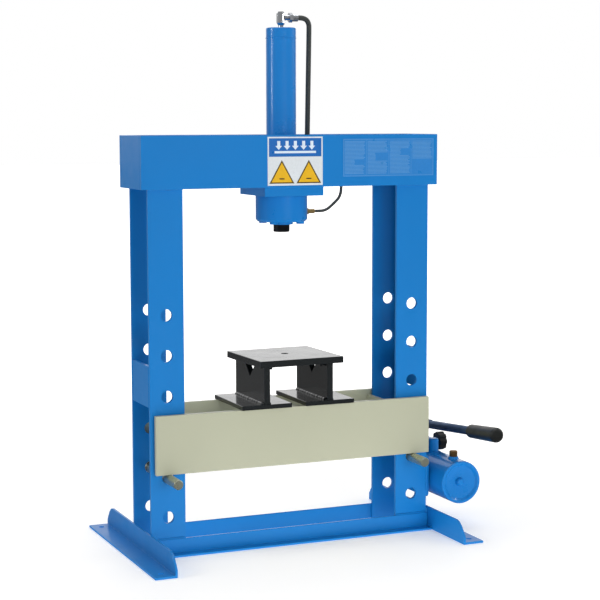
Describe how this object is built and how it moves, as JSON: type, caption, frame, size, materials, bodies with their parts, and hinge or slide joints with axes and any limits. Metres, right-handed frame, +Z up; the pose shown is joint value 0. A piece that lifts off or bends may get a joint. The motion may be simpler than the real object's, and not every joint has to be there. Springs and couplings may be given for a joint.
{
  "type": "hydraulic shop press",
  "caption": "Floor-standing hydraulic shop press: welded H-frame, pinned height-adjustable bed, V-blocks with a loose press plate, overhead cylinder and side-mounted hand pump.",
  "frame": {"origin": "on the floor under the ram axis, at the centre of the four anchor holes", "axes": "+X along the bed towards the hand pump, +Y to the rear, +Z up"},
  "size_m": [0.842, 0.5499, 1.201],
  "materials": {
    "frame_blue": "smooth gloss enamel, light orange peel",
    "bed_grey": "satin pale greenish grey enamel",
    "block_black": "semi-gloss near-black enamel",
    "pin_zinc": "turned, yellow zinc plated",
    "steel": "machined steel",
    "chrome": "polished chrome plate",
    "dark_steel": "black oxide",
    "brass": "dull turned brass",
    "rubber": "matt black rubber",
    "grip_plastic": "moulded black grip, satin",
    "knob_plastic": "moulded black plastic",
    "label_film": "printed film, satin"
  },
  "bodies": {
    "frame": {"head_front_plate": "frame_blue", "head_rear_plate": "frame_blue", "head_end_plates": "frame_blue", "left_front_bar": "frame_blue", "left_rear_bar": "frame_blue", "right_front_bar": "frame_blue", "right_rear_bar": "frame_blue", "upright_battens": "frame_blue", "cross_angles": "frame_blue", "left_foot": "frame_blue", "right_foot": "frame_blue", "capacity_label": "label_film", "instruction_label": "label_film", "cylinder_mounting_plate": "frame_blue", "cylinder_head": "frame_blue", "cylinder_tube": "frame_blue", "cylinder_cap": "frame_blue", "flange_bolts": "frame_blue", "gland_nut": "frame_blue", "guide_bush": "brass", "rod_seals": "rubber", "inlet_elbow": "chrome", "hose_ferrules": "chrome", "pressure_hose": "rubber", "drain_fittings": "brass", "drain_hose": "rubber", "pump_bracket": "frame_blue", "pump_bolts": "steel", "pump_block": "frame_blue", "fulcrum_lugs": "frame_blue", "tank_tube": "frame_blue", "tank_front_cap": "frame_blue", "tank_tie_rod": "frame_blue", "filler_boss": "frame_blue", "relief_valve_cover": "frame_blue", "lever_pivot_pin": "steel"},
    "ram": {"piston_rod": "chrome", "piston": "steel", "piston_seal": "rubber", "piston_nut": "steel", "ram_nose": "dark_steel", "return_spring": "steel"},
    "bed": {"bed_front_plate": "bed_grey", "bed_rear_plate": "bed_grey", "bed_tie_plates": "bed_grey"},
    "left_pin": {"left_bed_pin": "pin_zinc"},
    "right_pin": {"right_bed_pin": "pin_zinc"},
    "left_v_block": {"left_block_base": "block_black", "left_block_web": "block_black"},
    "right_v_block": {"right_block_base": "block_black", "right_block_web": "block_black"},
    "press_plate": {"press_plate": "block_black", "press_plate_lugs": "block_black"},
    "pump_lever": {"lever": "chrome", "lever_grip": "grip_plastic"},
    "plunger": {"pump_plunger": "chrome", "link_pin": "steel"},
    "release_valve": {"release_valve": "steel", "release_knob": "knob_plastic"},
    "filler_plug": {"filler_plug": "brass"}
  },
  "joints": [
    {"name": "ram_slide", "type": "slide", "parent": "frame", "child": "ram", "axis": [0, 0, -1], "range_m": [0, 0.2], "stiffness_N_per_m": 2500, "springref_m": -0.04, "deforming": ["return_spring"]},
    {"name": "bed_height", "type": "slide", "parent": "frame", "child": "bed", "axis": [0, 0, 1], "range_m": [0, 0.27]},
    {"name": "left_pin_pull", "type": "slide", "parent": "frame", "child": "left_pin", "axis": [0, -1, 0], "range_m": [0, 0.2]},
    {"name": "right_pin_pull", "type": "slide", "parent": "frame", "child": "right_pin", "axis": [0, -1, 0], "range_m": [0, 0.2]},
    {"name": "left_v_block_shift", "type": "slide", "parent": "bed", "child": "left_v_block", "axis": [-1, 0, 0], "range_m": [0, 0.06]},
    {"name": "right_v_block_shift", "type": "slide", "parent": "bed", "child": "right_v_block", "axis": [1, 0, 0], "range_m": [0, 0.06]},
    {"name": "press_plate_slide", "type": "slide", "parent": "bed", "child": "press_plate", "axis": [0, -1, 0], "range_m": [0, 0.25]},
    {"name": "lever_hinge", "type": "hinge", "parent": "frame", "child": "pump_lever", "pos_m": [0.4, 0.085, 0.2205], "axis": [-1, 0, 0], "range_deg": [0, 35]},
    {"name": "plunger_slide", "type": "slide", "parent": "frame", "child": "plunger", "axis": [0, 0, 1], "range_m": [0, 0.0175]},
    {"name": "release_valve_turn", "type": "hinge", "parent": "frame", "child": "release_valve", "pos_m": [0.43, 0.036, 0.1825], "axis": [1, 0, 0], "range_deg": [0, 270]},
    {"name": "filler_plug_pull", "type": "slide", "parent": "frame", "child": "filler_plug", "axis": [0, 0, 1], "range_m": [0, 0.03]}
  ],
  "couplings": [
    {"joint": "plunger_slide", "follows": "lever_hinge", "m_per_rad": 0.0285}
  ]
}
